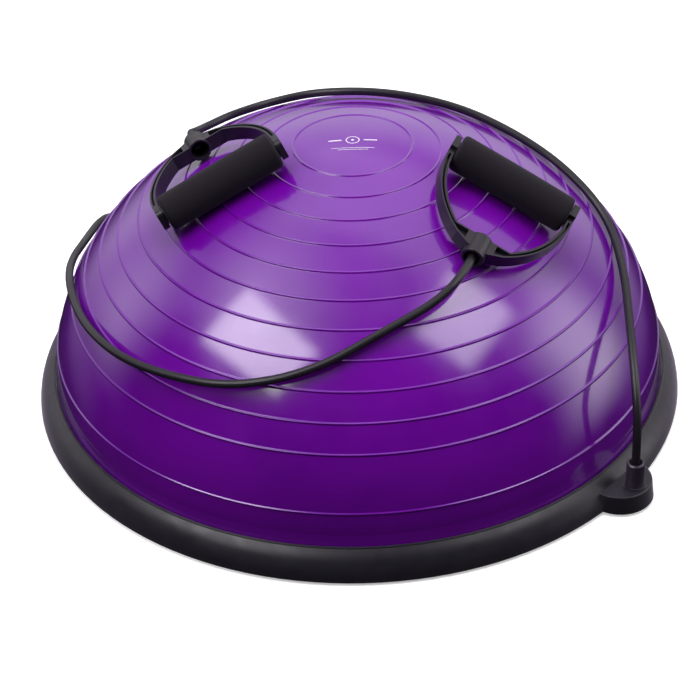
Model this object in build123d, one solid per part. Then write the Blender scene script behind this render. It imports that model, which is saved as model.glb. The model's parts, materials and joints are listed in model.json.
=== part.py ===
from build123d import *
from math import asin, cos, hypot, pi, radians, sin, tan
import os

# Balance dome trainer: an air-filled dome clamped on a flat round base, with two elastic bands.
# Each band is anchored in a bush on a lug of the base and ends in a handle with a foam grip.
# Millimetres, +Z up, origin on the floor at the middle of the base, +X through one lug.

# Base and dome
base_radius = 292.0            # widest radius of the rim
rim_width = 18.5               # from the dome's equator to the rim's edge
foot_drop = 3.0                # how far the feet stand below the base
dome_rise = 211.8              # equator to apex
equator_height = 38.8
radial_power = 1.9135          # the dome's section: (r/R)^radial_power + (h/H)^height_power = 1
height_power = 1.7912
dome_wall = 4.0
dome_flare = 1.7               # the wall widens by this much below the equator

# Grip ribs moulded on the dome, spaced along its surface
first_rib_radius = 51.5
rib_pitch = 25.4
last_rib_pitch = 50.5
plain_foot = 20.0              # least plain band below the last rib
rib_width = 3.2
rib_height = 0.8

# Clamped edge of the dome
bead_width = 12.5
bead_thick = 4.2
bead_lip = 3.3                 # how far the bead stands out past the wall

# Rim ring
rim_gap = 1.0                  # dark gap between the dome and the lip
lip_thick = 2.2
lip_height = 29.4
lip_step = 1.2
rim_skin = 2.8
rim_floor_gap = 3.2
rim_bulge = 3.1
clamp_gap = 0.2

# Platform
platform_thick = 3.2
platform_gap = 1.6             # platform edge to the inside of the rim
platform_seat = 8.0            # clamp seat above the underside
platform_rib = 3.0
platform_rib_height = 13.0
hub_radius = 32.0
inner_ribs = (95.0, 180.0)
spoke_count = 12
tread_radii = (60.0, 90.0, 120.0, 150.0, 180.0, 210.0)
tread_width = 3.0
tread_depth = 0.6

# Screws and feet
screw_count = 12
screw_radius = 2.0
screw_length = 11.9
screw_head_radius = 4.1
screw_head = 2.4
screw_clear = 0.1
boss_radius = 5.0
screw_offset = 4.3             # screw circle outside the rim's inner wall
foot_count = 6
foot_radius = 14.0
foot_circle = 240.0
foot_recess = 1.6

# Lugs and the bushes in them
lug_inset = 5.7                # lug centre inside the base radius
lug_radius = 28.1
lug_draft = 1.9
lug_top = 20.0
lug_wall = 2.4
lug_plate = 3.0
bush_offset = 9.6              # bush axis outside the base radius
bush_radius = 7.7
bush_top = 44.0
bush_fit = 0.1
flange_radius = 9.6
flange_thick = 2.7
flange_gap = 0.3
collar_radius = 10.5
collar_height = 1.2
mouth_depth = 5.0
mouth_radius = 5.7

# Bands
cord_radius = 3.65
cord_fit = 0.1
plug_ball = 6.0
anchor_ball_height = 18.5
cord_foot = 34.0               # height at which a band meets its anchor plug

# Handle: grip along x, barrel on +y, z away from the dome
foam_radius = 16.0
foam_length = 108.0
core_radius = 11.0
core_wall = 2.5
pin_length = 7.0
pin_fit = 0.1
end_gap = 1.2
plate_thick = 5.4
plate_half = 9.5
plate_tail = 11.0
plate_front = 5.5
notch_front = 10.0
notch_depth = 1.2
bow_half = 6.5
bow_shoulder = 22.0
bow_reach = 84.0
bow_nose = 90.0
inner_shoulder = 25.0
inner_reach = 75.5
bow_wall = 1.7
web_thick = 3.6
wing_width = 3.5
barrel_radius = 10.0
barrel_start = 74.5
barrel_end = 96.5
pivot_reach = 89.5             # centre of the ball that ends the cord
ball_fit = 0.15
socket_radius = 8.2
throat_radius = 5.5
flare_radius = 7.6
flat_reach = 4.4               # the cord meets the ball on this flat

# Where each handle lies on the dome: azimuth, radius of contact, turn of the grip
handle_rest_gap = 1.4
handle_tilt = 10.6
handle_a_place = (-116.2, 116.4, 175.8)
handle_b_place = (19.1, 135.0, 181.8)

# Valve on the far side of the dome
valve_azimuth = 130.0
valve_bore = 5.0
valve_neck = 8.0
valve_flange = 13.0
valve_flange_thick = 1.6
valve_depth = 9.0
valve_cap = 8.5
valve_cap_thick = 2.2
valve_fit = 0.07
valve_tab = 4.0
stem_end = 1.2                 # bevel at the end of the plug's stem
cap_bevel = 0.6

# Band routes: anchor first, handle last
band_a_route = [
    (301.6, 0, cord_foot), (301.6, 0, 71), (290, 13, 105), (257, 51, 133), (211, 110, 145),
    (165, 151, 162), (116, 158, 188), (65, 153, 208), (8, 139, 224), (-46, 105, 236),
    (-98, 73, 233), (-144, 60, 213), (-169, 32, 204), (-174, 4, 203), (-168, -22, 210),
    (-150.91, -44.9, 225.75), (-131.25, -58.25, 229.16)]
band_b_route = [
    (-301.6, 0, cord_foot), (-301.6, 0, 52), (-300, -11.5, 66), (-294, -32, 72), (-281, -58, 76),
    (-261, -88, 86), (-236, -122, 101), (-202, -161, 116), (-158, -197, 122), (-106, -228, 131),
    (-52, -244, 136), (6, -244, 143), (61, -231, 150), (112, -192, 165), (144, -134, 188),
    (162, -93, 200), (166.75, -64.84, 212.51), (160.26, -42.13, 216.79)]

dome_radius = base_radius - rim_width


def dome_angle(radius):
    return asin((radius / dome_radius) ** (radial_power / 2))


def dome_point(angle, offset=0.0):
    # A point of the dome's section, moved outwards by the offset.
    r = dome_radius * sin(angle) ** (2 / radial_power)
    h = dome_rise * max(cos(angle), 0.0) ** (2 / height_power)
    nr = radial_power / dome_radius * (r / dome_radius) ** (radial_power - 1)
    nh = height_power / dome_rise * (h / dome_rise) ** (height_power - 1)
    size = hypot(nr, nh)
    return r + offset * nr / size, equator_height + h + offset * nh / size


def dome_normal(angle):
    near, far = dome_point(angle), dome_point(angle, 1.0)
    return far[0] - near[0], far[1] - near[1]


def arc_table(steps=4000):
    # Angle against the length along the dome's section, measured from the apex.
    table, length = [(0.0, 0.0)], 0.0
    last = dome_point(0.0)
    for i in range(1, steps + 1):
        angle = pi / 2 * i / steps
        here = dome_point(angle)
        length += hypot(here[0] - last[0], here[1] - last[1])
        table.append((length, angle))
        last = here
    return table


arc_lengths = arc_table()
dome_arc = arc_lengths[-1][0]


def at_arc(length, offset=0.0):
    for (s0, a0), (s1, a1) in zip(arc_lengths, arc_lengths[1:]):
        if s1 >= length:
            return dome_point(a0 + (a1 - a0) * (length - s0) / (s1 - s0), offset)
    return dome_point(pi / 2, offset)


def arc_of_radius(radius):
    angle = dome_angle(radius)
    return next(s for s, a in arc_lengths if a >= angle)


def rib_arcs():
    # Evenly spaced ribs as far as they fit, then one more below a wider band.
    arcs = [arc_of_radius(first_rib_radius)]
    while arcs[-1] + rib_pitch + last_rib_pitch + plain_foot < dome_arc:
        arcs.append(arcs[-1] + rib_pitch)
    return arcs + [arcs[-1] + last_rib_pitch]


def around(solid, count, radius, start=0.0):
    # Copies of a solid spaced round the Z axis.
    step = 360 / count
    return [Rot(0, 0, start + step * i) * Pos(radius, 0, 0) * solid for i in range(count)]


def ring(inner, outer, low, high):
    face = make_face(Polyline((inner, low), (outer, low), (outer, high), (inner, high), (inner, low)))
    return revolve(Plane.XZ * face, Axis.Z)


def rod(radius, low, high):
    return Pos(0, 0, (low + high) / 2) * Cylinder(radius, high - low)


# Values that several pieces share
dome_foot_radius = dome_radius + dome_flare
base_under = foot_drop
seat_height = base_under + platform_seat
bead_top = seat_height + bead_thick
bead_outer = dome_foot_radius + bead_lip
bead_inner = bead_outer - bead_width
lip_inner = dome_foot_radius + rim_gap
lip_outer = lip_inner + lip_thick
rim_wall_outer = lip_outer + 0.6
platform_radius = base_radius - rim_skin - platform_gap
screw_circle = rim_wall_outer + screw_offset
lug_centre = base_radius - lug_inset
bush_circle = base_radius + bush_offset
lug_inner_top = lug_top - lug_plate
flange_top = lug_inner_top - flange_gap
flange_low = flange_top - flange_thick
plate_inner = foam_length / 2 + end_gap
lugs = (0.0, 180.0)


def make_dome():
    edges, here = [], 0.0
    for middle in rib_arcs():
        start, end = middle - rib_width / 2, middle + rib_width / 2
        if here == 0.0:
            edges.append(TangentArc(at_arc(0.0), at_arc(start), tangent=(1, 0)))
        else:
            edges.append(ThreePointArc(at_arc(here), at_arc((here + start) / 2), at_arc(start)))
        edges.append(ThreePointArc(at_arc(start), at_arc(middle, rib_height), at_arc(end)))
        here = end
    edges.append(ThreePointArc(at_arc(here), at_arc((here + dome_arc) / 2), at_arc(dome_arc)))
    inner = [dome_arc * (8 - i) / 8 for i in range(9)]
    edges.append(Polyline(
        at_arc(dome_arc), (dome_foot_radius, lip_height), (dome_foot_radius, bead_top),
        (bead_outer, bead_top), (bead_outer, seat_height), (bead_inner, seat_height),
        (bead_inner, bead_top), (dome_foot_radius - dome_wall, bead_top + dome_wall),
        at_arc(dome_arc, -dome_wall)))
    for a, b in zip(inner[:-2], inner[1:-1]):
        edges.append(ThreePointArc(at_arc(a, -dome_wall), at_arc((a + b) / 2, -dome_wall),
                                   at_arc(b, -dome_wall)))
    edges.append(TangentArc(at_arc(0.0, -dome_wall), at_arc(inner[-2], -dome_wall), tangent=(1, 0)))
    edges.append(Line(at_arc(0.0, -dome_wall), at_arc(0.0)))
    shell = revolve(Plane.XZ * make_face(edges), Axis.Z)
    return shell - valve_frame() * rod(valve_neck, -valve_depth - dome_wall, dome_wall)


def valve_frame():
    # Frame on the dome between the last two ribs, z along the outward normal.
    arc = (rib_arcs()[-2] + rib_arcs()[-1]) / 2
    r, z = at_arc(arc)
    nr, nz = dome_normal(dome_angle(r))
    a = radians(valve_azimuth)
    out = (nr * cos(a), nr * sin(a), nz)
    return Plane(origin=(r * cos(a), r * sin(a), z), x_dir=(-sin(a), cos(a), 0), z_dir=out).location


def make_valve_seat():
    body = rod(valve_neck, -valve_depth, 0) + rod(valve_flange, 0, valve_flange_thick)
    body = fillet(body.edges().filter_by(GeomType.CIRCLE).group_by(Axis.Z)[-1], 0.6)
    return valve_frame() * (body - rod(valve_bore, -valve_depth, valve_flange_thick))


def make_valve_plug():
    cap_low = valve_flange_thick + valve_fit
    cap_high = cap_low + valve_cap_thick
    stem_radius = valve_bore - valve_fit
    stem_low = -valve_depth - stem_end
    plug = revolve(Plane.XZ * make_face(Polyline(
        (0, stem_low), (stem_radius - stem_end, stem_low), (stem_radius, stem_low + stem_end),
        (stem_radius, cap_low), (valve_cap, cap_low), (valve_cap, cap_high - cap_bevel),
        (valve_cap - cap_bevel, cap_high), (0, cap_high), (0, stem_low))), Axis.Z)
    tab = Pos(valve_cap, 0, 0) * rod(valve_tab, cap_low + cap_bevel, cap_high - cap_bevel)
    return valve_frame() * (plug + tab)


def lug_cone(inset, low, high):
    # The lug's tapered outline, made smaller by a wall, between two heights.
    span = lug_top - rim_floor_gap
    low_radius = lug_radius + lug_draft * (lug_top - low) / span - inset
    high_radius = lug_radius + lug_draft * (lug_top - high) / span - inset
    return Pos(lug_centre, 0, (low + high) / 2) * Cone(low_radius, high_radius, high - low)


def make_rim():
    low_in = base_radius - rim_skin
    bulge = ((lip_outer + base_radius) / 2 + rim_bulge * 0.87,
             (lip_height + rim_floor_gap) / 2 + rim_bulge * 0.49)
    skin_in = (bulge[0] - rim_skin * 0.87, bulge[1] - rim_skin * 0.49)
    wall_top = lip_height - lip_step - rim_skin * 1.6
    section = [
        Polyline((lip_inner, bead_top + clamp_gap), (lip_inner, lip_height), (lip_outer, lip_height),
                 (lip_outer, lip_height - lip_step)),
        ThreePointArc((lip_outer, lip_height - lip_step), bulge, (base_radius, rim_floor_gap)),
        Line((base_radius, rim_floor_gap), (low_in, rim_floor_gap)),
        ThreePointArc((low_in, rim_floor_gap), skin_in, (rim_wall_outer, wall_top)),
        Polyline((rim_wall_outer, wall_top), (rim_wall_outer, bead_top + clamp_gap),
                 (lip_inner, bead_top + clamp_gap))]
    body = revolve(Plane.XZ * make_face(section), Axis.Z)
    lip_edge = body.edges().filter_by(GeomType.CIRCLE).group_by(Axis.Z)[-1]
    body = fillet(lip_edge, 0.6)
    core = rod(rim_wall_outer, 0, lip_height)
    platform_room = rod(low_in, 0, base_under + platform_thick + platform_gap)
    for angle in lugs:
        hollow = lug_cone(lug_wall, rim_floor_gap - 1, lug_inner_top) - core
        lug = lug_cone(0, rim_floor_gap, lug_top)
        top_edge = lug.edges().filter_by(GeomType.CIRCLE).group_by(Axis.Z)[-1]
        lug = fillet(top_edge, 1.0) - lug_cone(lug_wall, rim_floor_gap, lug_inner_top)
        lug = lug - core - platform_room
        collar = Pos(bush_circle, 0, 0) * rod(collar_radius, lug_inner_top, lug_top + collar_height)
        hole = Pos(bush_circle, 0, 0) * rod(bush_radius + bush_fit, flange_low, bush_top)
        body = body - Rot(0, 0, angle) * hollow + Rot(0, 0, angle) * (lug + collar)
        body -= Rot(0, 0, angle) * hole
    bead_room = rod(bead_outer + clamp_gap, 0, bead_top + clamp_gap)
    for boss in around(rod(boss_radius, seat_height, lug_inner_top), screw_count, screw_circle,
                       180 / screw_count):
        body += boss - bead_room
    pilot = rod(screw_radius + screw_clear / 2, seat_height, lug_inner_top)
    for hole in around(pilot, screw_count, screw_circle, 180 / screw_count):
        body -= hole
    return body


def make_platform():
    plate_top = base_under + platform_thick
    body = rod(platform_radius, base_under, plate_top)
    for angle in lugs:
        tab = Pos(lug_centre, 0, 0) * rod(lug_radius - lug_wall - 0.6, base_under, plate_top)
        post = Pos(bush_circle, 0, 0) * ring(plug_ball + 1.2, flange_radius, plate_top, flange_low - 0.4)
        body = body + Rot(0, 0, angle) * tab + Rot(0, 0, angle) * post
    body += ring(bead_inner - 2.0, bead_outer, plate_top, seat_height)
    rib_top = base_under + platform_rib_height
    for radius in inner_ribs:
        body += ring(radius - platform_rib / 2, radius + platform_rib / 2, plate_top, rib_top)
    body += ring(hub_radius - platform_rib, hub_radius, plate_top, rib_top)
    spoke_length = bead_inner - 1.5 - hub_radius
    spoke = Pos(hub_radius - 1 + spoke_length / 2, 0, (plate_top + rib_top) / 2) * Box(
        spoke_length, platform_rib, rib_top - plate_top)
    for i in range(spoke_count):
        body += Rot(0, 0, 360 / spoke_count * (i + 0.5)) * spoke
    post = rod(boss_radius - 1.2, plate_top, seat_height)
    for piece in around(post, screw_count, screw_circle, 180 / screw_count):
        body += piece
    cuts = [ring(r - tread_width / 2, r + tread_width / 2, 0, base_under + tread_depth)
            for r in tread_radii]
    hole = rod(screw_radius + screw_clear, 0, seat_height + 1)
    hole += rod(screw_head_radius + screw_clear, 0, base_under + screw_head + screw_clear)
    cuts += around(hole, screw_count, screw_circle, 180 / screw_count)
    cuts += around(rod(foot_radius + 0.1, 0, base_under + foot_recess), foot_count, foot_circle,
                   180 / foot_count)
    for cut in cuts:
        body -= cut
    return body


def make_screws():
    low = base_under + screw_clear
    head = rod(screw_head_radius, low, low + screw_head)
    head -= Pos(0, 0, low + 0.7) * Box(1.0, 5.0, 1.6) + Pos(0, 0, low + 0.7) * Box(5.0, 1.0, 1.6)
    screw = head + rod(screw_radius, low + screw_head, low + screw_head + screw_length - 1)
    tip = Pos(0, 0, low + screw_head + screw_length - 0.5) * Cone(screw_radius, screw_radius / 2, 1.0)
    return Compound(children=around(screw + tip, screw_count, screw_circle, 180 / screw_count))


def make_foot(index):
    foot = rod(foot_radius, 0, base_under + foot_recess)
    foot = fillet(foot.edges().group_by(Axis.Z)[0], 1.0)
    foot -= ring(foot_radius * 0.55, foot_radius * 0.65, 0, 0.8)
    return around(foot, foot_count, foot_circle, 180 / foot_count)[index]


def make_bush(angle):
    bore = cord_radius + cord_fit
    chamber = plug_ball + 0.3
    section = Polyline(
        (chamber, flange_low), (flange_radius, flange_low), (flange_radius, flange_top),
        (bush_radius, flange_top), (bush_radius, bush_top - 0.8), (bush_radius - 0.8, bush_top),
        (mouth_radius, bush_top), (bore, bush_top - mouth_depth), (bore, anchor_ball_height + 8),
        (chamber, anchor_ball_height + 1.5), (chamber, flange_low))
    bush = revolve(Plane.XZ * make_face(section), Axis.Z)
    return Rot(0, 0, angle) * Pos(bush_circle, 0, 0) * bush


def make_anchor_plug(angle):
    ball = Pos(0, 0, anchor_ball_height) * Sphere(plug_ball)
    stem = rod(cord_radius, anchor_ball_height, cord_foot)
    return Rot(0, 0, angle) * Pos(bush_circle, 0, 0) * (ball + stem)


def handle_location(place):
    # The grip lies on the dome along a tangent; the frame tilts about it until the bow lies down.
    azimuth, contact, turn = place
    angle = dome_angle(contact)
    r, z = dome_point(angle, foam_radius + handle_rest_gap)
    nr, nz = dome_normal(angle)
    up, slope, side = Vector(nr, 0, nz), Vector(nz, 0, -nr), Vector(0, 1, 0)
    grip = slope * cos(radians(turn)) + side * sin(radians(turn))
    barrel = up.cross(grip)
    normal = up * cos(radians(handle_tilt)) + barrel * sin(radians(handle_tilt))
    return Rot(0, 0, azimuth) * Plane(origin=(r, 0, z), x_dir=grip, z_dir=normal).location


def bow_outline():
    # Right half of the bow in its own plane: outer arc, nose, inner edge.
    outer = plate_inner + plate_thick
    return make_face([
        TangentArc((outer, notch_front), (bow_shoulder, bow_reach), tangent=(0, 1)),
        Polyline((bow_shoulder, bow_reach), (barrel_radius - 1, bow_nose), (0, bow_nose),
                 (0, inner_reach), (inner_shoulder, inner_reach)),
        TangentArc((plate_inner, notch_front), (inner_shoulder, inner_reach), tangent=(0, 1)),
        Line((plate_inner, notch_front), (outer, notch_front))])


def inset_arc(start, end, inset):
    # Ends of the arc that leaves the start along +y, moved towards its centre by the inset.
    run, rise = start[0] - end[0], end[1] - start[1]
    radius = (run ** 2 + rise ** 2) / (2 * run)
    centre = (start[0] - radius, start[1])
    share = 1 - inset / radius
    return [(centre[0] + (p[0] - centre[0]) * share, centre[1] + (p[1] - centre[1]) * share)
            for p in (start, end)]


def bow_pocket():
    # The open groove of one arm on each face, between its two thin walls.
    start = notch_front + bow_wall
    outer = inset_arc((plate_inner + plate_thick, start), (bow_shoulder, bow_reach), bow_wall)
    inner = inset_arc((plate_inner, start), (inner_shoulder, inner_reach), -bow_wall)
    wing = barrel_radius + wing_width
    rise = (bow_nose - bow_reach) / (bow_shoulder - barrel_radius + 1)
    edge = outer[1][1] + (outer[1][0] - wing) * rise
    groove = make_face([
        TangentArc(outer[0], outer[1], tangent=(0, 1)),
        Polyline(outer[1], (wing, edge), (wing, inner[1][1]), inner[1]),
        TangentArc(inner[0], inner[1], tangent=(0, 1)),
        Line(inner[0], outer[0])])
    groove = extrude(groove, bow_half - web_thick / 2)
    return [Pos(0, 0, web_thick / 2) * groove, Pos(0, 0, -bow_half) * groove]


def barrel_cavity():
    seat = plug_ball + ball_fit
    throat = (seat ** 2 - throat_radius ** 2) ** 0.5
    mid = seat * sin(pi / 4 + asin(throat_radius / seat) / 2)
    section = [
        Polyline((throat_radius, pivot_reach + throat), (flare_radius, barrel_end),
                 (0, barrel_end), (0, barrel_start), (socket_radius, barrel_start),
                 (socket_radius, pivot_reach - seat + 1), (seat, pivot_reach - 1), (seat, pivot_reach)),
        ThreePointArc((seat, pivot_reach), (mid, pivot_reach + (seat ** 2 - mid ** 2) ** 0.5),
                      (throat_radius, pivot_reach + throat))]
    return revolve(make_face(section), Axis.Y)


def make_bow(place):
    half = extrude(bow_outline(), bow_half, both=True)
    for groove in bow_pocket():
        half -= groove
    outer = plate_inner + plate_thick
    middle = (plate_inner + outer) / 2
    plate = Pos(middle, (notch_front - plate_tail) / 2, 0) * Box(
        plate_thick, notch_front + plate_tail, 2 * plate_half)
    plate = fillet(plate.edges().filter_by(Axis.X).group_by(Axis.Y)[0], 5.0)
    plate -= [Pos(middle, (plate_front + notch_front) / 2, side * (bow_half - notch_depth + 5)) * Box(
        plate_thick, notch_front - plate_front, 10) for side in (-1, 1)]
    pin = Pos(plate_inner - pin_length / 2 + 0.5, 0, 0) * Rot(0, 90, 0) * Cylinder(
        core_radius - core_wall - pin_fit, pin_length + 1)
    half = half + plate + pin
    barrel = Pos(0, (barrel_start + barrel_end) / 2, 0) * Rot(90, 0, 0) * Cylinder(
        barrel_radius, barrel_end - barrel_start)
    barrel = fillet(barrel.edges().filter_by(GeomType.CIRCLE), 0.8)
    bow = half + mirror(half, Plane.YZ) + barrel - barrel_cavity()
    return handle_location(place) * bow


def make_core(place):
    length = foam_length + 0.4
    core = Rot(0, 90, 0) * (Cylinder(core_radius, length) - Cylinder(core_radius - core_wall, length))
    return handle_location(place) * core


def make_foam(place):
    foam = Cylinder(foam_radius, foam_length)
    foam = fillet(foam.edges().filter_by(GeomType.CIRCLE), 2.5) - Cylinder(core_radius, foam_length)
    return handle_location(place) * Rot(0, 90, 0) * foam


def make_end_plug(place):
    ball = Sphere(plug_ball) - Pos(0, flat_reach + plug_ball, 0) * Box(
        3 * plug_ball, 2 * plug_ball, 3 * plug_ball)
    return handle_location(place) * Pos(0, pivot_reach, 0) * ball


def cord_radii(route):
    # Each bend takes the largest arc that its two runs allow.
    points = [Vector(*p) for p in route]
    radii = []
    for a, b, c in zip(points, points[1:], points[2:]):
        turn = radians((b - a).get_angle(c - b))
        radii.append(0.45 * min((b - a).length, (c - b).length) / tan(turn / 2))
    return radii


def make_cord(name, route):
    radii = cord_radii(route)
    path = FilletPolyline(*route, radius=radii)
    start = Plane(origin=route[0], z_dir=(0, 0, 1))
    tube = sweep(start * Circle(cord_radius), path=path)
    ideal = pi * cord_radius ** 2 * path.length
    print(f"{name}: length {path.length:.1f}, radii {[round(r) for r in radii]}")
    print(f"{name}: volume {tube.volume:.0f} against {ideal:.0f}")
    return tube


def make_band(name, angle, place, route):
    return {
        f"{name}_cord": make_cord(name, route),
        f"{name}_bush": make_bush(angle),
        f"{name}_anchor_plug": make_anchor_plug(angle),
        f"{name}_end_plug": make_end_plug(place),
        f"{name}_bow": make_bow(place),
        f"{name}_grip_core": make_core(place),
        f"{name}_grip_foam": make_foam(place)}


def make_all():
    pieces = {
        "base_platform": make_platform(),
        "rim_ring": make_rim(),
        "dome_shell": make_dome(),
        "base_screws": make_screws(),
        "valve_seat": make_valve_seat(),
        "valve_plug": make_valve_plug()}
    for i in range(foot_count):
        pieces[f"foot_{i + 1}"] = make_foot(i)
    pieces.update(make_band("band_a", lugs[0], handle_a_place, band_a_route))
    pieces.update(make_band("band_b", lugs[1], handle_b_place, band_b_route))
    return pieces


parts = make_all()
os.makedirs("parts", exist_ok=True)
for node, shape in parts.items():
    export_step(shape, f"parts/{node}.step")
    print(node, round(shape.volume), "mm3")
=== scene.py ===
import json
import math

import bmesh
import bpy
from mathutils import Matrix, Vector


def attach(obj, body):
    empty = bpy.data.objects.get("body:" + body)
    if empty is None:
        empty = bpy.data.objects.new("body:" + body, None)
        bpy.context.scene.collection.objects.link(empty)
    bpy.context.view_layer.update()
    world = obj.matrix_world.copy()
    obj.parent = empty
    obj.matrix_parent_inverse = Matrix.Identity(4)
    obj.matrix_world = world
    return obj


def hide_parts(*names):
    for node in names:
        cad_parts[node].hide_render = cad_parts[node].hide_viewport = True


# Balance dome trainer. Metres, +Z up, origin on the floor under the dome's apex.

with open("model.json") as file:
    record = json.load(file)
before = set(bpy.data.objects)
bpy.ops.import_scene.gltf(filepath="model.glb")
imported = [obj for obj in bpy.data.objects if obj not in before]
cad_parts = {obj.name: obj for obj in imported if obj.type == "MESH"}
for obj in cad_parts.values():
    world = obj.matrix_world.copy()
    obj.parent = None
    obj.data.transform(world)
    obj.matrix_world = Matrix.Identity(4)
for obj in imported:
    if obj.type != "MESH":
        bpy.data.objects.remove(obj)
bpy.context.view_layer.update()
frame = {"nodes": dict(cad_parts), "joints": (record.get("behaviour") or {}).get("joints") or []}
nodes = frame["nodes"]
print("frame loaded:", len(nodes), "nodes")


class Link:
    # One output socket in a node tree. Sums and products of these add Math nodes.
    def __init__(self, tree, socket=None):
        self.tree = tree
        self.socket = socket

    def add(self, kind, settings=None, inputs=None, output=0):
        node = self.tree.nodes.new(kind)
        for name, value in (settings or {}).items():
            setattr(node, name, value)
        for name, value in (inputs or {}).items():
            if isinstance(value, Link):
                self.tree.links.new(value.socket, node.inputs[name])
            else:
                node.inputs[name].default_value = value
        return Link(self.tree, node.outputs[output]) if node.outputs else None

    def math(self, operation, *values):
        return self.add("ShaderNodeMath", {"operation": operation}, dict(enumerate(values)))

    def __add__(self, other):
        return self.math("ADD", self, other)

    __radd__ = __add__

    def __mul__(self, other):
        return self.math("MULTIPLY", self, other)

    __rmul__ = __mul__

    def dot(self, first, second):
        return self.add("ShaderNodeVectorMath", {"operation": "DOT_PRODUCT"}, {0: first, 1: second},
                        output=1)

    def span(self, low, high, toLow=0.0, toHigh=1.0):
        return self.add("ShaderNodeMapRange", {"interpolation_type": "SMOOTHSTEP"},
                        {"Value": self, "From Min": low, "From Max": high,
                         "To Min": toLow, "To Max": toHigh})


def rgb(red, green, blue):
    return (red, green, blue, 1.0)


def newMaterial(name):
    material = bpy.data.materials.new(name)
    material.use_nodes = True
    material.node_tree.nodes.clear()
    return material, Link(material.node_tree)


def finishMaterial(shade, settings, **inputs):
    shader = shade.add("ShaderNodeBsdfPrincipled", {}, {**settings, **inputs})
    shade.add("ShaderNodeOutputMaterial", {}, {"Surface": shader})


def objectPoint(shade, scale=(1, 1, 1)):
    point = shade.add("ShaderNodeTexCoord", output=3)
    return shade.add("ShaderNodeMapping", {}, {"Vector": point, "Scale": scale})


def noise(shade, point, size, detail=2.0):
    # Cloudy pattern whose blobs are about size metres across.
    return shade.add("ShaderNodeTexNoise", {}, {"Vector": point, "Scale": 1.0 / size, "Detail": detail})


def mixColour(shade, share, low, high):
    return shade.add("ShaderNodeMix", {"data_type": "RGBA"}, {0: share, 6: low, 7: high}, output=2)


def bump(shade, height, depth, strength=1.0, normal=None):
    inputs = {"Height": height, "Distance": depth, "Strength": strength}
    if normal is not None:
        inputs["Normal"] = normal
    return shade.add("ShaderNodeBump", {}, inputs)


# Materials

vinylSettings = {
    "deep": (0.118, 0.0010, 0.262),
    "bright": (0.146, 0.0024, 0.310),
    "mottleSize": 0.09,
    "peelSize": 0.0035,
    "peelDepth": 0.00003,
    "peelStretch": (1, 1, 0.45),
    "sagSize": 0.06,
    "sagDepth": 0.0003,
    "roughSize": 0.03,
    "rough": (0.16, 0.26),
    "gloss": {"IOR": 1.5, "Coat Roughness": 0.05, "Coat IOR": 1.5}}


def makeVinyl():
    s = vinylSettings
    material, shade = newMaterial("dome_vinyl")
    point = objectPoint(shade)
    mottle = noise(shade, point, s["mottleSize"], 3.0).span(0.3, 0.7)
    colour = mixColour(shade, mottle, rgb(*s["deep"]), rgb(*s["bright"]))
    sag = bump(shade, noise(shade, point, s["sagSize"], 1.0), s["sagDepth"])
    peelPoint = objectPoint(shade, s["peelStretch"])
    peel = bump(shade, noise(shade, peelPoint, s["peelSize"]), s["peelDepth"], normal=sag)
    rough = noise(shade, point, s["roughSize"], 3.0).span(0.3, 0.75, *s["rough"])
    finishMaterial(shade, s["gloss"], **{
        "Base Color": colour, "Roughness": rough, "Coat Weight": 1.0, "Normal": peel})
    return material


plasticKinds = {
    "base_satin": {"dark": (0.009, 0.0075, 0.013), "pale": (0.014, 0.012, 0.020), "rough": (0.34, 0.44),
                   "grain": 0.0006, "depth": 0.00004, "specular": 0.5, "sheen": 0.7},
    "bow_moulded": {"dark": (0.011, 0.009, 0.015), "pale": (0.020, 0.017, 0.026), "rough": (0.28, 0.4),
                    "grain": 0.0005, "depth": 0.00005, "specular": 0.5},
    "bush_smooth": {"dark": (0.034, 0.026, 0.044), "pale": (0.046, 0.035, 0.057), "rough": (0.24, 0.34),
                    "grain": 0.0008, "depth": 0.00002, "specular": 0.5},
    "plug_gloss": {"dark": (0.006, 0.006, 0.008), "pale": (0.010, 0.009, 0.013), "rough": (0.08, 0.14),
                   "grain": 0.001, "depth": 0.00001, "specular": 0.5},
    "foot_rubber": {"dark": (0.018, 0.018, 0.020), "pale": (0.030, 0.029, 0.033), "rough": (0.7, 0.85),
                    "grain": 0.0007, "depth": 0.00006, "specular": 0.4},
    "core_tube": {"dark": (0.012, 0.012, 0.014), "pale": (0.018, 0.017, 0.021), "rough": (0.4, 0.5),
                  "grain": 0.0008, "depth": 0.00003, "specular": 0.5},
    "valve_rubber": {"dark": (0.11, 0.004, 0.25), "pale": (0.15, 0.006, 0.31), "rough": (0.4, 0.52),
                     "grain": 0.0008, "depth": 0.00003, "specular": 0.4}}
plasticPattern = {"cloudSize": 0.02, "cloudShare": 0.6, "speckShare": 0.4, "roughSize": 0.012,
                  "sheenRough": 0.35, "sheenTint": (0.80, 0.70, 0.90)}


def makePlastic(name):
    s = plasticKinds[name] | plasticPattern
    material, shade = newMaterial(name)
    point = objectPoint(shade)
    cloud = noise(shade, point, s["cloudSize"], 3.0).span(0.3, 0.7)
    speck = noise(shade, point, s["grain"] * 2, 1.0).span(0.45, 0.65)
    share = cloud * s["cloudShare"] + speck * s["speckShare"]
    colour = mixColour(shade, share, rgb(*s["dark"]), rgb(*s["pale"]))
    grain = bump(shade, noise(shade, point, s["grain"]), s["depth"])
    rough = noise(shade, point, s["roughSize"], 3.0).span(0.3, 0.7, *s["rough"])
    finishMaterial(shade, {"Specular IOR Level": s["specular"], "Sheen Weight": s.get("sheen", 0.0),
                           "Sheen Roughness": s["sheenRough"], "Sheen Tint": rgb(*s["sheenTint"])}, **{
        "Base Color": colour, "Roughness": rough, "Normal": grain})
    return material


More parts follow.
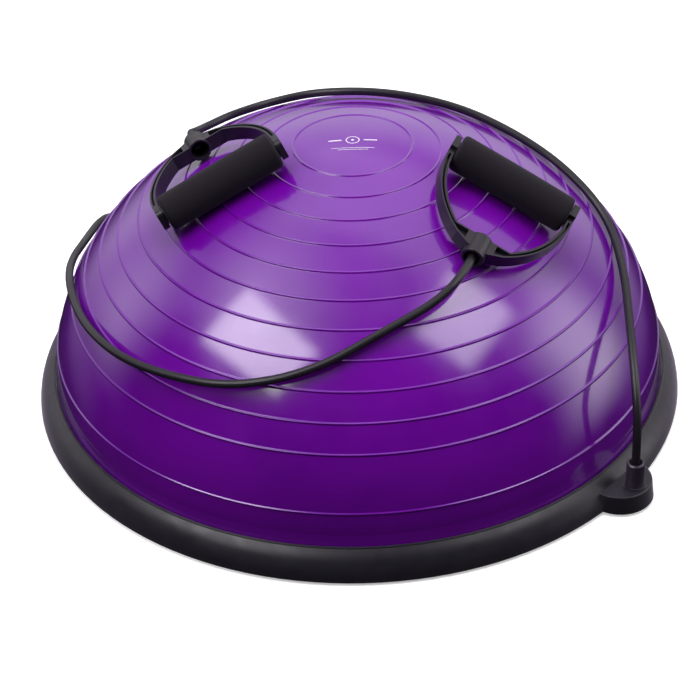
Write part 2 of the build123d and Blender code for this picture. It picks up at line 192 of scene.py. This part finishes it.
# Both foam colours carry a slight purple tint that is a painted reflection of the purple dome. The
# near-black tone and the pore and cloud pattern are the foam's own.
foamSettings = {
    "dark": (0.0060, 0.0045, 0.0075),
    "pale": (0.0135, 0.0105, 0.0160),
    "cell": 0.0007,
    "cellDepth": 0.00022,
    "cellShare": 0.6,
    "cloudSize": 0.012,
    "cloudShare": 0.4,
    "lumpSize": 0.006,
    "lumpDepth": 0.0002,
    "rough": (0.82, 0.94),
    "gloss": {"Specular IOR Level": 0.2, "Sheen Weight": 0.06, "Sheen Roughness": 0.5}}


def makeFoamMaterial():
    s = foamSettings
    material, shade = newMaterial("grip_foam")
    point = objectPoint(shade)
    cells = shade.add("ShaderNodeTexVoronoi", {"feature": "F1"}, {"Vector": point, "Scale": 1 / s["cell"]})
    cloud = noise(shade, point, s["cloudSize"], 3.0).span(0.3, 0.7)
    pores = cells.span(0.15, 0.6)
    share = pores * s["cellShare"] + cloud * s["cloudShare"]
    colour = mixColour(shade, share, rgb(*s["dark"]), rgb(*s["pale"]))
    lumps = bump(shade, noise(shade, point, s["lumpSize"]), s["lumpDepth"])
    skin = bump(shade, pores, s["cellDepth"], 0.7, normal=lumps)
    rough = cloud.span(0, 1, *s["rough"])
    finishMaterial(shade, s["gloss"], **{
        "Base Color": colour, "Roughness": rough, "Normal": skin})
    return material


bandRubber = {
    "dark": (0.007, 0.006, 0.009),
    "pale": (0.022, 0.019, 0.027),
    "streaks": 26,
    "stretch": 9.0,
    "streakShare": 0.7,
    "dustSize": 0.004,
    "dustShare": 0.3,
    "grooveDepth": 0.00012,
    "rough": (0.42, 0.30)}


def makeBandMaterial():
    s = bandRubber
    material, shade = newMaterial("band_rubber")
    around = shade.add("ShaderNodeTexCoord", output=2)
    along = shade.add("ShaderNodeMapping", {}, {"Vector": around, "Scale": (s["stretch"], s["streaks"], 1)})
    streak = shade.add("ShaderNodeTexNoise", {}, {"Vector": along, "Scale": 1.0, "Detail": 2.0})
    lines = streak.span(0.35, 0.65)
    dust = noise(shade, objectPoint(shade), s["dustSize"], 3.0).span(0.45, 0.8)
    share = lines * s["streakShare"] + dust * s["dustShare"]
    colour = mixColour(shade, share, rgb(*s["dark"]), rgb(*s["pale"]))
    grooves = bump(shade, lines, s["grooveDepth"], 0.6)
    rough = lines.span(0, 1, *s["rough"])
    finishMaterial(shade, {"Specular IOR Level": 0.5}, **{
        "Base Color": colour, "Roughness": rough, "Normal": grooves})
    return material


steelSettings = {"dark": (0.42, 0.42, 0.44), "pale": (0.6, 0.6, 0.62), "turning": 0.0008,
                 "stretch": (1, 1, 6), "rough": (0.26, 0.42), "depth": 0.00003}


def makeSteel():
    s = steelSettings
    material, shade = newMaterial("screw_steel")
    turned = noise(shade, objectPoint(shade, s["stretch"]), s["turning"])
    finishMaterial(shade, {"Metallic": 1.0}, **{
        "Base Color": mixColour(shade, turned, rgb(*s["dark"]), rgb(*s["pale"])),
        "Roughness": turned.span(0.3, 0.7, *s["rough"]),
        "Normal": bump(shade, turned, s["depth"])})
    return material


inkSettings = {"worn": (0.50, 0.42, 0.58), "whole": (0.74, 0.69, 0.78), "wearSize": 0.0012,
               "rough": (0.45, 0.3), "specular": 0.4}


def makeInk():
    s = inkSettings
    material, shade = newMaterial("mark_ink")
    worn = noise(shade, objectPoint(shade), s["wearSize"], 3.0).span(0.35, 0.6)
    finishMaterial(shade, {"Specular IOR Level": s["specular"]}, **{
        "Base Color": mixColour(shade, worn, rgb(*s["worn"]), rgb(*s["whole"])),
        "Roughness": worn.span(0, 1, *s["rough"])})
    return material


materials = {name: makePlastic(name) for name in plasticKinds}
materials["dome_vinyl"] = makeVinyl()
materials["grip_foam"] = makeFoamMaterial()
materials["band_rubber"] = makeBandMaterial()
materials["screw_steel"] = makeSteel()
materials["mark_ink"] = makeInk()

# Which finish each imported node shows, by the start or end of its name
nodeFinish = {
    "base_platform": "base_satin", "rim_ring": "base_satin", "dome_shell": "dome_vinyl",
    "base_screws": "screw_steel", "valve_seat": "valve_rubber", "valve_plug": "valve_rubber",
    "foot": "foot_rubber", "cord": "band_rubber", "bush": "bush_smooth", "anchor_plug": "plug_gloss",
    "end_plug": "plug_gloss", "bow": "bow_moulded", "grip_core": "core_tube", "grip_foam": "grip_foam"}
for name, node in nodes.items():
    kind = next(k for k in nodeFinish if name == k or name.endswith("_" + k) or name.startswith(k + "_"))
    node.data.materials.clear()
    node.data.materials.append(materials[nodeFinish[kind]])
print("materials made:", len(materials))


def makePiece(name, mesh, material, body):
    for face in mesh.faces:
        face.smooth = True
    data = bpy.data.meshes.new(name)
    mesh.to_mesh(data)
    mesh.free()
    piece = bpy.data.objects.new(name, data)
    bpy.context.scene.collection.objects.link(piece)
    piece.data.materials.append(materials[material])
    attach(piece, body)
    return piece


# Dome

domeShape = {
    "radius": 0.2735, "rise": 0.2118, "equator": 0.0388,
    "radialPower": 1.9135, "heightPower": 1.7912, "wall": 0.004,
    "firstRib": 0.0515, "ribPitch": 0.0254, "closeRibs": 11, "lastPitch": 0.0505,
    "ribWidth": 0.0024, "ribHeight": 0.0009, "ribRound": 1.3, "ribSteps": 8,
    "panelSteps": (0, 0.015, 0.05, 0.16, 0.33, 0.5, 0.67, 0.84, 0.95, 0.985, 1),
    "footRadius": 0.2752, "footTop": 0.0294,
    "beadOuter": 0.2785, "beadInner": 0.266, "beadLow": 0.011, "beadTop": 0.0152,
    "innerSteps": 24, "turns": 256, "creaseAngle": 50}


def domePoint(angle, offset=0.0):
    s = domeShape
    r = s["radius"] * math.sin(angle) ** (2 / s["radialPower"])
    h = s["rise"] * max(math.cos(angle), 0.0) ** (2 / s["heightPower"])
    nr = s["radialPower"] / s["radius"] * (r / s["radius"]) ** (s["radialPower"] - 1)
    nh = s["heightPower"] / s["rise"] * (h / s["rise"]) ** (s["heightPower"] - 1)
    size = math.hypot(nr, nh)
    return r + offset * nr / size, s["equator"] + h + offset * nh / size


def domeHeight(radius):
    s = domeShape
    share = 1 - (radius / s["radius"]) ** s["radialPower"]
    return s["equator"] + s["rise"] * share ** (1 / s["heightPower"])


def domeSteps(count=3000):
    # Angles and the lengths along the dome's section from the apex.
    steps = [(0.0, 0.0)]
    last = domePoint(0.0)
    for i in range(1, count + 1):
        angle = math.pi / 2 * i / count
        here = domePoint(angle)
        steps.append((steps[-1][0] + math.dist(last, here), angle))
        last = here
    return steps


domeArcs = domeSteps()


def angleAt(length):
    low, high = 0, len(domeArcs) - 1
    while high - low > 1:
        middle = (low + high) // 2
        low, high = (middle, high) if domeArcs[middle][0] < length else (low, middle)
    (s0, a0), (s1, a1) = domeArcs[low], domeArcs[high]
    return a0 + (a1 - a0) * (length - s0) / (s1 - s0)


def domeProfile():
    # Points of the shell's section: apex to foot outside, round the bead, and back inside.
    s = domeShape
    limit = math.asin((s["firstRib"] / s["radius"]) ** (s["radialPower"] / 2))
    first = next(length for length, angle in domeArcs if angle >= limit)
    ribs = [first + s["ribPitch"] * i for i in range(s["closeRibs"])]
    ribs.append(ribs[-1] + s["lastPitch"])
    total = domeArcs[-1][0]
    profile = []
    edges = [0.0, *ribs, total]
    half = s["ribWidth"] / 2
    for start, end in zip(edges, edges[1:]):
        low = start + half if start else 0.0
        high = end - half if end < total else total
        for step in s["panelSteps"]:
            profile.append(domePoint(angleAt(low + (high - low) * step)))
        if end < total:
            for i in range(1, s["ribSteps"]):
                t = 2 * i / s["ribSteps"] - 1
                lift = s["ribHeight"] * math.cos(t * math.pi / 2) ** s["ribRound"]
                profile.append(domePoint(angleAt(end + half * t), lift))
    profile += [(s["footRadius"], s["footTop"]), (s["footRadius"], s["beadTop"]),
                (s["beadOuter"], s["beadTop"]), (s["beadOuter"], s["beadLow"]),
                (s["beadInner"], s["beadLow"]), (s["beadInner"], s["beadTop"]),
                (s["footRadius"] - s["wall"], s["beadTop"] + s["wall"])]
    for i in range(s["innerSteps"], -1, -1):
        profile.append(domePoint(math.pi / 2 * i / s["innerSteps"], -s["wall"]))
    profile[0] = (0.0, profile[0][1])
    profile[-1] = (0.0, profile[-1][1])
    return profile


def spinProfile(points, turns):
    # Turns a section of (radius, height) points round the Z axis.
    mesh = bmesh.new()
    verts = [mesh.verts.new((r, 0, z)) for r, z in points]
    edges = [mesh.edges.new(pair) for pair in zip(verts, verts[1:])]
    bmesh.ops.spin(mesh, geom=verts + edges, cent=(0, 0, 0), axis=(0, 0, 1), angle=2 * math.pi,
                   steps=turns, use_merge=True)
    bmesh.ops.remove_doubles(mesh, verts=mesh.verts, dist=1e-6)
    bmesh.ops.dissolve_degenerate(mesh, edges=mesh.edges, dist=1e-7)
    bmesh.ops.recalc_face_normals(mesh, faces=mesh.faces)
    return mesh


def makeDome():
    mesh = spinProfile(domeProfile(), domeShape["turns"])
    dome = makePiece("dome", mesh, "dome_vinyl", "base")
    dome.data.set_sharp_from_angle(angle=math.radians(domeShape["creaseAngle"]))
    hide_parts("dome_shell")
    return dome


dome = makeDome()
print("dome made:", len(dome.data.polygons), "faces")


# Printed mark at the apex: a plain ring with a bar each side, and two rules below it

markShape = {"ring": 0.0060, "line": 0.0009, "barStart": 0.0095, "barEnd": 0.021, "barWidth": 0.0016,
             "ruleWidth": 0.0006, "ruleHalf": 0.0185, "ruleDrop": 0.0125, "shortRule": 0.7,
             "ruleGap": 0.0026, "dot": 1.4, "lift": 0.00012, "turn": 40.15}


def makeMark():
    s = markShape
    mesh = bmesh.new()
    outer = bmesh.ops.create_circle(mesh, segments=48, radius=s["ring"])["verts"]
    inner = bmesh.ops.create_circle(mesh, segments=48, radius=s["ring"] - s["line"])["verts"]
    bmesh.ops.bridge_loops(mesh, edges=list({e for v in outer + inner for e in v.link_edges}))
    bars = [(s["barStart"], s["barEnd"], 0.0, s["barWidth"]),
            (-s["barEnd"], -s["barStart"], 0.0, s["barWidth"]),
            (-s["ruleHalf"], s["ruleHalf"], -s["ruleDrop"], s["ruleWidth"]),
            (-s["ruleHalf"] * s["shortRule"], s["ruleHalf"] * s["shortRule"],
             -s["ruleDrop"] - s["ruleGap"], s["ruleWidth"])]
    for left, right, middle, width in bars:
        size = Matrix.Diagonal((right - left, width, 1, 1))
        place = Matrix.Translation(((left + right) / 2, middle, 0)) @ size
        bmesh.ops.create_grid(mesh, x_segments=8, y_segments=1, size=0.5, matrix=place)
    bmesh.ops.create_circle(mesh, cap_ends=True, segments=24, radius=s["line"] * s["dot"])
    bmesh.ops.rotate(mesh, verts=mesh.verts, cent=(0, 0, 0), matrix=Matrix.Rotation(
        math.radians(s["turn"]), 3, "Z"))
    for vert in mesh.verts:
        vert.co.z = domeHeight(math.hypot(vert.co.x, vert.co.y)) + s["lift"]
    bmesh.ops.recalc_face_normals(mesh, faces=mesh.faces)
    for face in mesh.faces:
        if face.normal.z < 0:
            face.normal_flip()
    makePiece("apex_mark", mesh, "mark_ink", "base")


makeMark()
print("mark made")


# Foam grips

foamShape = {"radius": 0.016, "bore": 0.011, "length": 0.108, "round": 0.0036, "crown": 0.0003,
             "cornerSteps": 8, "steps": 36, "turns": 96, "creaseAngle": 60}


def spinAxis(body):
    # Middle and direction of what turns on a hinge.
    joint = next(j for j in frame["joints"] if j["child"] == body)
    return Vector(joint["pos_m"]), Vector(joint["axis"]).normalized()


def makeFoam(band):
    s = foamShape
    middle, axis = spinAxis("grip_" + band)
    half = s["length"] / 2
    corner = []
    for i in range(s["cornerSteps"] + 1):
        turn = math.pi / 2 * i / s["cornerSteps"]
        corner.append((s["radius"] - s["round"] * (1 - math.sin(turn)),
                       half - s["round"] * (1 - math.cos(turn))))
    profile = [(s["bore"], -half), *((r, -z) for r, z in corner)]
    for i in range(1, s["steps"]):
        t = i / s["steps"]
        profile.append((s["radius"] + s["crown"] * math.sin(math.pi * t), (half - s["round"]) * (2 * t - 1)))
    profile += [*reversed(corner), (s["bore"], half), (s["bore"], -half)]
    mesh = spinProfile(profile, s["turns"])
    turn = axis.to_track_quat("Z", "Y").to_matrix().to_4x4()
    bmesh.ops.transform(mesh, matrix=Matrix.Translation(middle) @ turn, verts=mesh.verts)
    foam = makePiece("foam_" + band, mesh, "grip_foam", "grip_" + band)
    foam.data.set_sharp_from_angle(angle=math.radians(s["creaseAngle"]))
    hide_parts(f"band_{band}_grip_foam")


for band in "ab":
    makeFoam(band)
print("foam grips made")


# Elastic bands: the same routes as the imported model, lower end first

bandShape = {"radius": 0.00365, "exitHeight": 0.044}
bandRoutes = {
    "a": [(0.3016, 0, 0.034), (0.3016, 0, 0.071), (0.290, 0.013, 0.105), (0.257, 0.051, 0.133),
          (0.211, 0.110, 0.145), (0.165, 0.151, 0.162), (0.116, 0.158, 0.188), (0.065, 0.153, 0.208),
          (0.008, 0.139, 0.224), (-0.046, 0.105, 0.236), (-0.098, 0.073, 0.233), (-0.144, 0.060, 0.213),
          (-0.169, 0.032, 0.204), (-0.174, 0.004, 0.203), (-0.168, -0.022, 0.210),
          (-0.15091, -0.0449, 0.22575), (-0.13125, -0.05825, 0.22916)],
    "b": [(-0.3016, 0, 0.034), (-0.3016, 0, 0.052), (-0.300, -0.0115, 0.066), (-0.294, -0.032, 0.072),
          (-0.281, -0.058, 0.076), (-0.261, -0.088, 0.086), (-0.236, -0.122, 0.101), (-0.202, -0.161, 0.116),
          (-0.158, -0.197, 0.122), (-0.106, -0.228, 0.131), (-0.052, -0.244, 0.136), (0.006, -0.244, 0.143),
          (0.061, -0.231, 0.150), (0.112, -0.192, 0.165), (0.144, -0.134, 0.188), (0.162, -0.093, 0.200),
          (0.16675, -0.06484, 0.21251), (0.16026, -0.04213, 0.21679)]}


def makeBand(band):
    route = bandRoutes[band]
    curve = bpy.data.curves.new("elastic_band_" + band, "CURVE")
    curve.dimensions = "3D"
    spline = curve.splines.new("NURBS")
    spline.points.add(len(route) - 1)
    for point, place in zip(spline.points, route):
        point.co = (*place, 1.0)
    spline.order_u = 3
    spline.use_endpoint_u = True
    spline.resolution_u = 24
    curve.bevel_depth = bandShape["radius"]
    curve.bevel_resolution = 6
    curve.use_fill_caps = True
    curve.materials.append(materials["band_rubber"])
    piece = bpy.data.objects.new("elastic_band_" + band, curve)
    bpy.context.scene.collection.objects.link(piece)
    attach(piece, "base")
    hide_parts(f"band_{band}_cord")


for band in "ab":
    makeBand(band)
print("bands made")


# Floor, lights and camera

floorTone = {"base": (0.80, 0.80, 0.81), "fade": 0.99, "cloudSize": 0.5, "glow": 0.42, "size": 40.0}


def makeFloor():
    material, shade = newMaterial("studio_floor")
    s = floorTone
    cloud = noise(shade, objectPoint(shade), s["cloudSize"]).span(0.3, 0.7)
    tone = mixColour(shade, cloud, rgb(*s["base"]), rgb(*(s["fade"] * c for c in s["base"])))
    finishMaterial(shade, {"Roughness": 0.6, "Specular IOR Level": 0.1, "Emission Color": rgb(1, 1, 1),
                           "Emission Strength": s["glow"]}, **{"Base Color": tone})
    mesh = bmesh.new()
    bmesh.ops.create_grid(mesh, x_segments=4, y_segments=4, size=s["size"] / 2)
    data = bpy.data.meshes.new("floor")
    mesh.to_mesh(data)
    mesh.free()
    floor = bpy.data.objects.new("floor", data)
    bpy.context.scene.collection.objects.link(floor)
    floor.data.materials.append(material)
    floor.visible_glossy = False
    floor.visible_diffuse = False


makeFloor()

# Lamps that light the trainer without showing in its gloss: place, size and brightness
studioLamps = {
    "ceiling": {"place": (0.0, 0.0, 2.4), "size": (1.6, 1.6), "glow": 4.0},
    "back_top": {"place": (-0.9, 1.1, 2.0), "size": (1.2, 1.2), "glow": 1.2}}
lampTarget = (0, 0, 0.15)


def makeLamp(name):
    s = studioLamps[name]
    light = bpy.data.lights.new(name, "AREA")
    light.shape = "RECTANGLE"
    light.size, light.size_y = s["size"]
    light.energy = s["glow"] * math.pi * s["size"][0] * s["size"][1]
    lamp = bpy.data.objects.new(name, light)
    lamp.location = s["place"]
    lamp.rotation_euler = (Vector(s["place"]) - Vector(lampTarget)).to_track_quat("Z", "Y").to_euler()
    lamp.visible_camera = False
    lamp.visible_glossy = False
    bpy.context.scene.collection.objects.link(lamp)


for name in studioLamps:
    makeLamp(name)

# The room round the trainer: soft panels by direction, with half sizes, edge softness and brightness
roomPanels = {
    "left_window": {"azimuth": -109, "height": 51, "half": (0.30, 0.19), "soft": 0.045, "glow": 5.6},
    "right_window": {"azimuth": 20, "height": 53, "half": (0.24, 0.19), "soft": 0.06, "glow": 4.2},
    "right_wall": {"azimuth": 46, "height": 14, "half": (0.24, 0.36), "soft": 0.20, "glow": 2.4},
    "left_wall": {"azimuth": -164, "height": 18, "half": (0.20, 0.28), "soft": 0.20, "glow": 1.05},
    "back_wall": {"azimuth": 128, "height": 16, "half": (0.80, 0.34), "soft": 0.25, "glow": 0.75},
    "left_halo": {"azimuth": -135, "height": 60, "half": (0.34, 0.26), "soft": 0.24, "glow": 1.5},
    "overhead": {"azimuth": 100, "height": 60, "half": (0.55, 0.32), "soft": 0.12, "glow": 0.75},
    "ceiling": {"azimuth": 130, "height": 78, "half": (0.45, 0.45), "soft": 0.35, "glow": 0.35}}
roomTone = {"seen": (0.93, 0.93, 0.94), "around": 0.012, "tint": (1, 0.98, 1), "facing": (0.1, 0.3)}


def directionAt(azimuth, height):
    a, h = math.radians(azimuth), math.radians(height)
    return Vector((math.cos(a) * math.cos(h), math.sin(a) * math.cos(h), math.sin(h)))


def panelGlow(shade, ray, panel):
    # Brightness of one panel in the direction of a ray, fading at its edges.
    way = directionAt(panel["azimuth"], panel["height"])
    side = directionAt(panel["azimuth"] + 90, 0)
    glow = shade.dot(ray, way).span(*roomTone["facing"]) * panel["glow"]
    for axis, half in zip((side, way.cross(side)), panel["half"]):
        reach = shade.math("ABSOLUTE", shade.dot(ray, axis))
        glow = glow * reach.span(half - panel["soft"], half + panel["soft"], 1.0, 0.0)
    return glow


def makeWorld():
    world = bpy.data.worlds.new("studio")
    world.use_nodes = True
    world.node_tree.nodes.clear()
    bpy.context.scene.world = world
    shade = Link(world.node_tree)
    ray = shade.add("ShaderNodeTexCoord")
    glow = sum((panelGlow(shade, ray, panel) for panel in roomPanels.values()), roomTone["around"])
    room = shade.add("ShaderNodeBackground", {}, {"Color": rgb(*roomTone["tint"]), "Strength": glow})
    seen = shade.add("ShaderNodeBackground", {}, {"Color": rgb(*roomTone["seen"])})
    byCamera = shade.add("ShaderNodeLightPath")
    sky = shade.add("ShaderNodeMixShader", {}, {0: byCamera, 1: room, 2: seen})
    shade.add("ShaderNodeOutputWorld", {}, {"Surface": sky})


makeWorld()
bpy.context.scene.view_settings.view_transform = "Standard"
print("studio made")

cameraView = {"place": (1.0653, -1.2744, 1.2203), "back": (0.5239, -0.6211, 0.5829), "roll": -1.63,
              "lens": 114.67, "sensor": 36.0, "clip": (0.05, 50.0)}


def makeCamera():
    s = cameraView
    data = bpy.data.cameras.new("camera")
    data.lens = s["lens"]
    data.sensor_width = s["sensor"]
    data.clip_start, data.clip_end = s["clip"]
    camera = bpy.data.objects.new("camera", data)
    turn = Vector(s["back"]).to_track_quat("Z", "Y").to_matrix() @ Matrix.Rotation(
        math.radians(s["roll"]), 3, "Z")
    camera.matrix_world = Matrix.Translation(s["place"]) @ turn.to_4x4()
    bpy.context.scene.collection.objects.link(camera)
    bpy.context.scene.camera = camera


makeCamera()
print("camera made")
